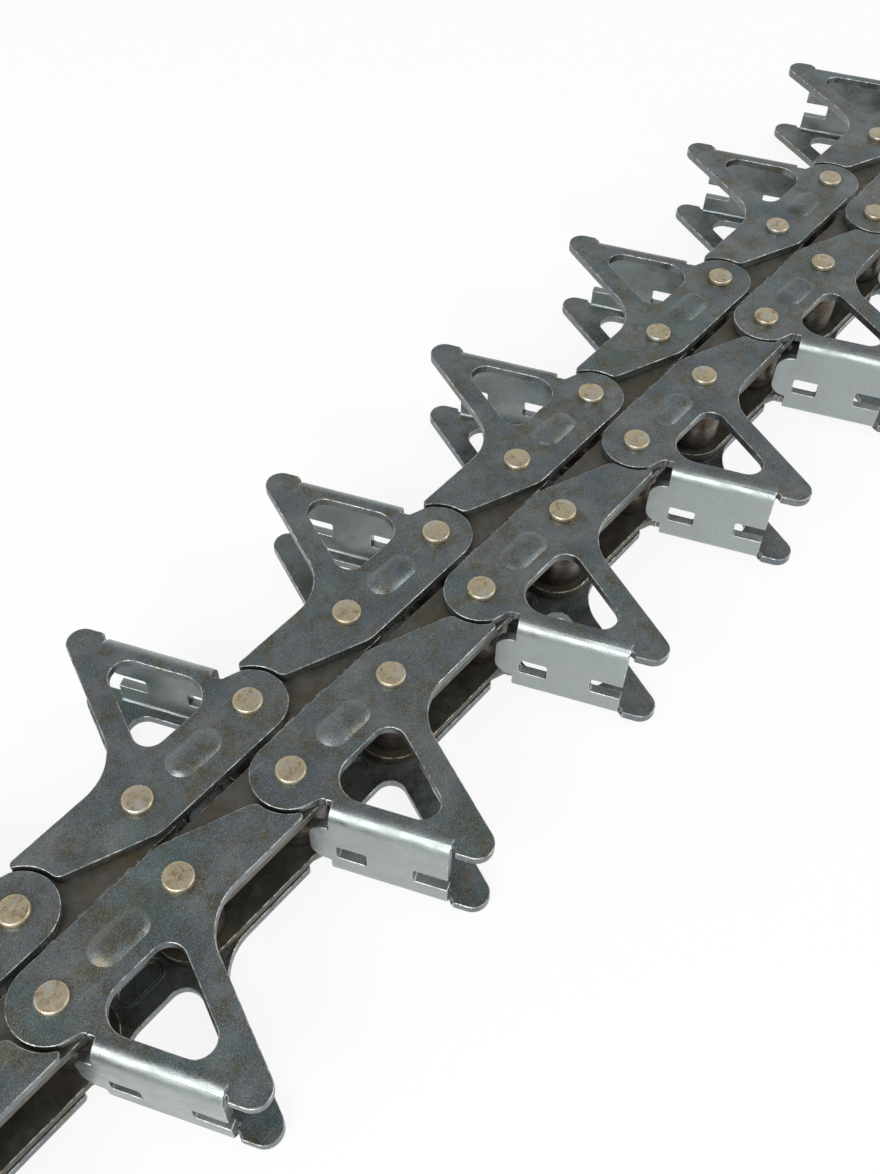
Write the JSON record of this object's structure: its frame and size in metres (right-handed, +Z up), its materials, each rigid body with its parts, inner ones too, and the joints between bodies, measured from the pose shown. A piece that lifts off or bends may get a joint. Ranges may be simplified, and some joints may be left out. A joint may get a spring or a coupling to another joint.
{
  "type": "conveyor chain",
  "caption": "Gathering and conveying roller chain with folded triangular lug links, folded double into two runs side by side.",
  "frame": {"origin": "on the surface the chain lies on, under the middle of its bounding box", "axes": "+X along the two runs, away from the fold; +Y from the first run towards the second; +Z up, along the pins"},
  "size_m": [0.6668, 0.1384, 0.0373],
  "materials": {
    "lug_steel": "dark oiled steel, stamped and folded, with stained riveted pins",
    "plate_steel": "dark oiled steel",
    "roller_steel": "dark oiled steel"
  },
  "bodies": {
    "lug_link_01": {"lug_link_01": "lug_steel"},
    "lug_link_02": {"lug_link_02": "lug_steel"},
    "lug_link_03": {"lug_link_03": "lug_steel"},
    "lug_link_04": {"lug_link_04": "lug_steel"},
    "lug_link_05": {"lug_link_05": "lug_steel"},
    "lug_link_06": {"lug_link_06": "lug_steel"},
    "lug_link_07": {"lug_link_07": "lug_steel"},
    "lug_link_08": {"lug_link_08": "lug_steel"},
    "lug_link_09": {"lug_link_09": "lug_steel"},
    "lug_link_10": {"lug_link_10": "lug_steel"},
    "lug_link_11": {"lug_link_11": "lug_steel"},
    "lug_link_12": {"lug_link_12": "lug_steel"},
    "lug_link_13": {"lug_link_13": "lug_steel"},
    "lug_link_14": {"lug_link_14": "lug_steel"},
    "lug_link_15": {"lug_link_15": "lug_steel"},
    "inner_link_01": {"inner_link_01": "plate_steel"},
    "front_roller_01": {"front_roller_01": "roller_steel"},
    "rear_roller_01": {"rear_roller_01": "roller_steel"},
    "inner_link_02": {"inner_link_02": "plate_steel"},
    "front_roller_02": {"front_roller_02": "roller_steel"},
    "rear_roller_02": {"rear_roller_02": "roller_steel"},
    "inner_link_03": {"inner_link_03": "plate_steel"},
    "front_roller_03": {"front_roller_03": "roller_steel"},
    "rear_roller_03": {"rear_roller_03": "roller_steel"},
    "inner_link_04": {"inner_link_04": "plate_steel"},
    "front_roller_04": {"front_roller_04": "roller_steel"},
    "rear_roller_04": {"rear_roller_04": "roller_steel"},
    "inner_link_05": {"inner_link_05": "plate_steel"},
    "front_roller_05": {"front_roller_05": "roller_steel"},
    "rear_roller_05": {"rear_roller_05": "roller_steel"},
    "inner_link_06": {"inner_link_06": "plate_steel"},
    "front_roller_06": {"front_roller_06": "roller_steel"},
    "rear_roller_06": {"rear_roller_06": "roller_steel"},
    "inner_link_07": {"inner_link_07": "plate_steel"},
    "front_roller_07": {"front_roller_07": "roller_steel"},
    "rear_roller_07": {"rear_roller_07": "roller_steel"},
    "inner_link_08": {"inner_link_08": "plate_steel"},
    "front_roller_08": {"front_roller_08": "roller_steel"},
    "rear_roller_08": {"rear_roller_08": "roller_steel"},
    "inner_link_09": {"inner_link_09": "plate_steel"},
    "front_roller_09": {"front_roller_09": "roller_steel"},
    "rear_roller_09": {"rear_roller_09": "roller_steel"},
    "inner_link_10": {"inner_link_10": "plate_steel"},
    "front_roller_10": {"front_roller_10": "roller_steel"},
    "rear_roller_10": {"rear_roller_10": "roller_steel"},
    "inner_link_11": {"inner_link_11": "plate_steel"},
    "front_roller_11": {"front_roller_11": "roller_steel"},
    "rear_roller_11": {"rear_roller_11": "roller_steel"},
    "inner_link_12": {"inner_link_12": "plate_steel"},
    "front_roller_12": {"front_roller_12": "roller_steel"},
    "rear_roller_12": {"rear_roller_12": "roller_steel"},
    "inner_link_13": {"inner_link_13": "plate_steel"},
    "front_roller_13": {"front_roller_13": "roller_steel"},
    "rear_roller_13": {"rear_roller_13": "roller_steel"},
    "inner_link_14": {"inner_link_14": "plate_steel"},
    "front_roller_14": {"front_roller_14": "roller_steel"},
    "rear_roller_14": {"rear_roller_14": "roller_steel"}
  },
  "joints": [
    {"name": "fold_round_pivot", "type": "hinge", "parent": "inner_link_07", "child": "lug_link_07", "pos_m": [-0.26605, -0.01242, 0.01865], "axis": [0, 0, -1], "range_deg": [0, 66.87]},
    {"name": "fold_tail_pivot", "type": "hinge", "parent": "inner_link_07", "child": "lug_link_08", "pos_m": [-0.29918, 0.01242, 0.01865], "axis": [0, 0, 1], "range_deg": [0, 144.63]},
    {"name": "tail_pivot_07", "type": "hinge", "parent": "lug_link_07", "child": "inner_link_06", "pos_m": [-0.22465, -0.01242, 0.01865], "axis": [0, 0, -1], "range_deg": [0, 1.5]},
    {"name": "round_pivot_06", "type": "hinge", "parent": "inner_link_06", "child": "lug_link_06", "pos_m": [-0.18326, -0.01242, 0.01865], "axis": [0, 0, -1], "range_deg": [0, 30]},
    {"name": "tail_pivot_06", "type": "hinge", "parent": "lug_link_06", "child": "inner_link_05", "pos_m": [-0.14186, -0.01242, 0.01865], "axis": [0, 0, -1], "range_deg": [0, 1.5]},
    {"name": "round_pivot_05", "type": "hinge", "parent": "inner_link_05", "child": "lug_link_05", "pos_m": [-0.10046, -0.01242, 0.01865], "axis": [0, 0, -1], "range_deg": [0, 30]},
    {"name": "tail_pivot_05", "type": "hinge", "parent": "lug_link_05", "child": "inner_link_04", "pos_m": [-0.05906, -0.01242, 0.01865], "axis": [0, 0, -1], "range_deg": [0, 1.5]},
    {"name": "round_pivot_04", "type": "hinge", "parent": "inner_link_04", "child": "lug_link_04", "pos_m": [-0.01766, -0.01242, 0.01865], "axis": [0, 0, -1], "range_deg": [0, 30]},
    {"name": "tail_pivot_04", "type": "hinge", "parent": "lug_link_04", "child": "inner_link_03", "pos_m": [0.02374, -0.01242, 0.01865], "axis": [0, 0, -1], "range_deg": [0, 1.5]},
    {"name": "round_pivot_03", "type": "hinge", "parent": "inner_link_03", "child": "lug_link_03", "pos_m": [0.06514, -0.01242, 0.01865], "axis": [0, 0, -1], "range_deg": [0, 30]},
    {"name": "tail_pivot_03", "type": "hinge", "parent": "lug_link_03", "child": "inner_link_02", "pos_m": [0.10655, -0.01242, 0.01865], "axis": [0, 0, -1], "range_deg": [0, 1.5]},
    {"name": "round_pivot_02", "type": "hinge", "parent": "inner_link_02", "child": "lug_link_02", "pos_m": [0.14794, -0.01242, 0.01865], "axis": [0, 0, -1], "range_deg": [0, 30]},
    {"name": "tail_pivot_02", "type": "hinge", "parent": "lug_link_02", "child": "inner_link_01", "pos_m": [0.18935, -0.01242, 0.01865], "axis": [0, 0, -1], "range_deg": [0, 1.5]},
    {"name": "round_pivot_01", "type": "hinge", "parent": "inner_link_01", "child": "lug_link_01", "pos_m": [0.23075, -0.01242, 0.01865], "axis": [0, 0, -1], "range_deg": [0, 30]},
    {"name": "round_pivot_08", "type": "hinge", "parent": "lug_link_08", "child": "inner_link_08", "pos_m": [-0.25777, 0.01242, 0.01865], "axis": [0, 0, -1], "range_deg": [-30, 0]},
    {"name": "tail_pivot_09", "type": "hinge", "parent": "inner_link_08", "child": "lug_link_09", "pos_m": [-0.21638, 0.01242, 0.01865], "axis": [0, 0, -1], "range_deg": [-1.5, 0]},
    {"name": "round_pivot_09", "type": "hinge", "parent": "lug_link_09", "child": "inner_link_09", "pos_m": [-0.17497, 0.01242, 0.01865], "axis": [0, 0, -1], "range_deg": [-30, 0]},
    {"name": "tail_pivot_10", "type": "hinge", "parent": "inner_link_09", "child": "lug_link_10", "pos_m": [-0.13357, 0.01242, 0.01865], "axis": [0, 0, -1], "range_deg": [-1.5, 0]},
    {"name": "round_pivot_10", "type": "hinge", "parent": "lug_link_10", "child": "inner_link_10", "pos_m": [-0.09218, 0.01242, 0.01865], "axis": [0, 0, -1], "range_deg": [-30, 0]},
    {"name": "tail_pivot_11", "type": "hinge", "parent": "inner_link_10", "child": "lug_link_11", "pos_m": [-0.05078, 0.01242, 0.01865], "axis": [0, 0, -1], "range_deg": [-1.5, 0]},
    {"name": "round_pivot_11", "type": "hinge", "parent": "lug_link_11", "child": "inner_link_11", "pos_m": [-0.00937, 0.01242, 0.01865], "axis": [0, 0, -1], "range_deg": [-30, 0]},
    {"name": "tail_pivot_12", "type": "hinge", "parent": "inner_link_11", "child": "lug_link_12", "pos_m": [0.03202, 0.01242, 0.01865], "axis": [0, 0, -1], "range_deg": [-1.5, 0]},
    {"name": "round_pivot_12", "type": "hinge", "parent": "lug_link_12", "child": "inner_link_12", "pos_m": [0.07343, 0.01242, 0.01865], "axis": [0, 0, -1], "range_deg": [-30, 0]},
    {"name": "tail_pivot_13", "type": "hinge", "parent": "inner_link_12", "child": "lug_link_13", "pos_m": [0.11482, 0.01242, 0.01865], "axis": [0, 0, -1], "range_deg": [-1.5, 0]},
    {"name": "round_pivot_13", "type": "hinge", "parent": "lug_link_13", "child": "inner_link_13", "pos_m": [0.15623, 0.01242, 0.01865], "axis": [0, 0, -1], "range_deg": [-30, 0]},
    {"name": "tail_pivot_14", "type": "hinge", "parent": "inner_link_13", "child": "lug_link_14", "pos_m": [0.19762, 0.01242, 0.01865], "axis": [0, 0, -1], "range_deg": [-1.5, 0]},
    {"name": "round_pivot_14", "type": "hinge", "parent": "lug_link_14", "child": "inner_link_14", "pos_m": [0.23902, 0.01242, 0.01865], "axis": [0, 0, -1], "range_deg": [-30, 0]},
    {"name": "tail_pivot_15", "type": "hinge", "parent": "inner_link_14", "child": "lug_link_15", "pos_m": [0.28042, 0.01242, 0.01865], "axis": [0, 0, -1], "range_deg": [-1.5, 0]},
    {"name": "front_roller_spin_01", "type": "hinge", "parent": "inner_link_01", "child": "front_roller_01", "pos_m": [0.23075, -0.01242, 0.01865], "axis": [0, 0, 1], "continuous": true},
    {"name": "rear_roller_spin_01", "type": "hinge", "parent": "inner_link_01", "child": "rear_roller_01", "pos_m": [0.18935, -0.01242, 0.01865], "axis": [0, 0, 1], "continuous": true},
    {"name": "front_roller_spin_02", "type": "hinge", "parent": "inner_link_02", "child": "front_roller_02", "pos_m": [0.14794, -0.01242, 0.01865], "axis": [0, 0, 1], "continuous": true},
    {"name": "rear_roller_spin_02", "type": "hinge", "parent": "inner_link_02", "child": "rear_roller_02", "pos_m": [0.10655, -0.01242, 0.01865], "axis": [0, 0, 1], "continuous": true},
    {"name": "front_roller_spin_03", "type": "hinge", "parent": "inner_link_03", "child": "front_roller_03", "pos_m": [0.06514, -0.01242, 0.01865], "axis": [0, 0, 1], "continuous": true},
    {"name": "rear_roller_spin_03", "type": "hinge", "parent": "inner_link_03", "child": "rear_roller_03", "pos_m": [0.02374, -0.01242, 0.01865], "axis": [0, 0, 1], "continuous": true},
    {"name": "front_roller_spin_04", "type": "hinge", "parent": "inner_link_04", "child": "front_roller_04", "pos_m": [-0.01766, -0.01242, 0.01865], "axis": [0, 0, 1], "continuous": true},
    {"name": "rear_roller_spin_04", "type": "hinge", "parent": "inner_link_04", "child": "rear_roller_04", "pos_m": [-0.05906, -0.01242, 0.01865], "axis": [0, 0, 1], "continuous": true},
    {"name": "front_roller_spin_05", "type": "hinge", "parent": "inner_link_05", "child": "front_roller_05", "pos_m": [-0.10046, -0.01242, 0.01865], "axis": [0, 0, 1], "continuous": true},
    {"name": "rear_roller_spin_05", "type": "hinge", "parent": "inner_link_05", "child": "rear_roller_05", "pos_m": [-0.14186, -0.01242, 0.01865], "axis": [0, 0, 1], "continuous": true},
    {"name": "front_roller_spin_06", "type": "hinge", "parent": "inner_link_06", "child": "front_roller_06", "pos_m": [-0.18326, -0.01242, 0.01865], "axis": [0, 0, 1], "continuous": true},
    {"name": "rear_roller_spin_06", "type": "hinge", "parent": "inner_link_06", "child": "rear_roller_06", "pos_m": [-0.22465, -0.01242, 0.01865], "axis": [0, 0, 1], "continuous": true},
    {"name": "front_roller_spin_07", "type": "hinge", "parent": "inner_link_07", "child": "front_roller_07", "pos_m": [-0.26605, -0.01242, 0.01865], "axis": [0, 0, 1], "continuous": true},
    {"name": "rear_roller_spin_07", "type": "hinge", "parent": "inner_link_07", "child": "rear_roller_07", "pos_m": [-0.29918, 0.01242, 0.01865], "axis": [0, 0, 1], "continuous": true},
    {"name": "front_roller_spin_08", "type": "hinge", "parent": "inner_link_08", "child": "front_roller_08", "pos_m": [-0.25777, 0.01242, 0.01865], "axis": [0, 0, 1], "continuous": true},
    {"name": "rear_roller_spin_08", "type": "hinge", "parent": "inner_link_08", "child": "rear_roller_08", "pos_m": [-0.21638, 0.01242, 0.01865], "axis": [0, 0, 1], "continuous": true},
    {"name": "front_roller_spin_09", "type": "hinge", "parent": "inner_link_09", "child": "front_roller_09", "pos_m": [-0.17497, 0.01242, 0.01865], "axis": [0, 0, 1], "continuous": true},
    {"name": "rear_roller_spin_09", "type": "hinge", "parent": "inner_link_09", "child": "rear_roller_09", "pos_m": [-0.13357, 0.01242, 0.01865], "axis": [0, 0, 1], "continuous": true},
    {"name": "front_roller_spin_10", "type": "hinge", "parent": "inner_link_10", "child": "front_roller_10", "pos_m": [-0.09218, 0.01242, 0.01865], "axis": [0, 0, 1], "continuous": true},
    {"name": "rear_roller_spin_10", "type": "hinge", "parent": "inner_link_10", "child": "rear_roller_10", "pos_m": [-0.05078, 0.01242, 0.01865], "axis": [0, 0, 1], "continuous": true},
    {"name": "front_roller_spin_11", "type": "hinge", "parent": "inner_link_11", "child": "front_roller_11", "pos_m": [-0.00937, 0.01242, 0.01865], "axis": [0, 0, 1], "continuous": true},
    {"name": "rear_roller_spin_11", "type": "hinge", "parent": "inner_link_11", "child": "rear_roller_11", "pos_m": [0.03202, 0.01242, 0.01865], "axis": [0, 0, 1], "continuous": true},
    {"name": "front_roller_spin_12", "type": "hinge", "parent": "inner_link_12", "child": "front_roller_12", "pos_m": [0.07343, 0.01242, 0.01865], "axis": [0, 0, 1], "continuous": true},
    {"name": "rear_roller_spin_12", "type": "hinge", "parent": "inner_link_12", "child": "rear_roller_12", "pos_m": [0.11482, 0.01242, 0.01865], "axis": [0, 0, 1], "continuous": true},
    {"name": "front_roller_spin_13", "type": "hinge", "parent": "inner_link_13", "child": "front_roller_13", "pos_m": [0.15623, 0.01242, 0.01865], "axis": [0, 0, 1], "continuous": true},
    {"name": "rear_roller_spin_13", "type": "hinge", "parent": "inner_link_13", "child": "rear_roller_13", "pos_m": [0.19762, 0.01242, 0.01865], "axis": [0, 0, 1], "continuous": true},
    {"name": "front_roller_spin_14", "type": "hinge", "parent": "inner_link_14", "child": "front_roller_14", "pos_m": [0.23902, 0.01242, 0.01865], "axis": [0, 0, 1], "continuous": true},
    {"name": "rear_roller_spin_14", "type": "hinge", "parent": "inner_link_14", "child": "rear_roller_14", "pos_m": [0.28042, 0.01242, 0.01865], "axis": [0, 0, 1], "continuous": true}
  ]
}
